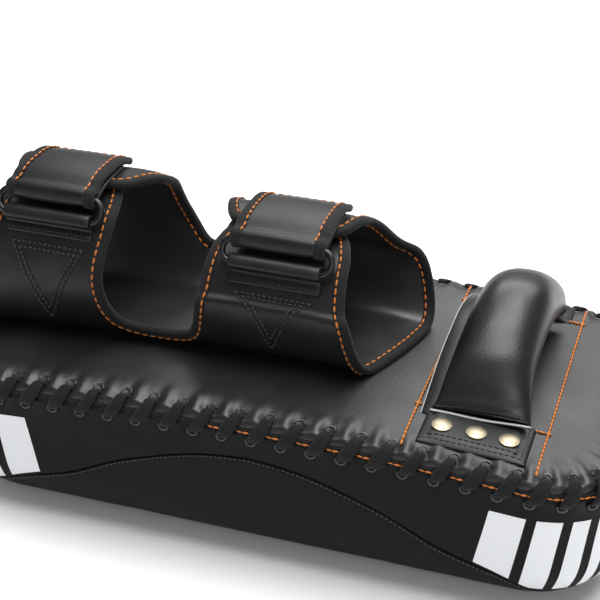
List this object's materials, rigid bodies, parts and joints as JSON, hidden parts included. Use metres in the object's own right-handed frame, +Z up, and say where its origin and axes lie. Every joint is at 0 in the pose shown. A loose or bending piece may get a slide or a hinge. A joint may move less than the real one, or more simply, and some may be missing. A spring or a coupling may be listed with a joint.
{
  "type": "thai pad",
  "caption": "Rectangular foam kick pad in black leather with a laced back, two strap-closed forearm cuffs and a padded grip handle.",
  "frame": {"origin": "centre of the bounding box's bottom, on the flat striking face that lies down", "axes": "+X along the pad's length towards the handle end, +Y across towards the long side without rings, +Z up through the back"},
  "size_m": [0.4444, 0.2043, 0.2017],
  "materials": {
    "pad_leather": "semi-gloss grained black synthetic leather",
    "cuff_leather": "smooth semi-gloss black leather",
    "binding_tape": "woven black edge tape",
    "lace": "flat woven black lace, slightly waxed",
    "foam": "closed-cell foam",
    "nickel": "polished pale nickel plate",
    "ring_metal": "dark gunmetal lacquer on steel wire",
    "hook_and_loop": "black hook-and-loop tape"
  },
  "bodies": {
    "root": {"face_panel": "pad_leather", "side_band": "pad_leather", "back_panel": "pad_leather", "seam_binding": "binding_tape", "lace": "lace", "face_foam": "foam", "core_foam": "foam", "back_foam": "foam", "handle_backing": "cuff_leather", "handle_strap": "cuff_leather", "handle_foam": "foam", "handle_cover": "cuff_leather", "near_patch": "cuff_leather", "far_patch": "cuff_leather", "near_rivets": "nickel", "far_rivets": "nickel", "near_rivet_washers": "nickel", "far_rivet_washers": "nickel", "arm_cradle": "cuff_leather", "cradle_binding": "binding_tape", "left_ring_tab": "cuff_leather", "left_strap_feed": "cuff_leather", "left_loop_patch": "hook_and_loop", "right_ring_tab": "cuff_leather", "right_strap_feed": "cuff_leather", "right_loop_patch": "hook_and_loop"},
    "left_ring": {"left_ring": "ring_metal"},
    "right_ring": {"right_ring": "ring_metal"},
    "left_strap": {"left_strap_end": "cuff_leather", "left_hook_patch": "hook_and_loop"},
    "right_strap": {"right_strap_end": "cuff_leather", "right_hook_patch": "hook_and_loop"}
  },
  "joints": [
    {"name": "left_ring_tilt", "type": "hinge", "parent": "root", "child": "left_ring", "pos_m": [-0.1485, -0.038, 0.18141], "axis": [1, 0, 0], "range_deg": [0, 12]},
    {"name": "left_strap_peel", "type": "hinge", "parent": "left_ring", "child": "left_strap", "pos_m": [-0.1485, -0.03, 0.1935], "axis": [1, 0, 0], "range_deg": [0, 110]},
    {"name": "right_ring_tilt", "type": "hinge", "parent": "root", "child": "right_ring", "pos_m": [-0.003, -0.038, 0.17121], "axis": [1, 0, 0], "range_deg": [0, 12]},
    {"name": "right_strap_peel", "type": "hinge", "parent": "right_ring", "child": "right_strap", "pos_m": [-0.003, -0.03, 0.1833], "axis": [1, 0, 0], "range_deg": [0, 110]}
  ]
}
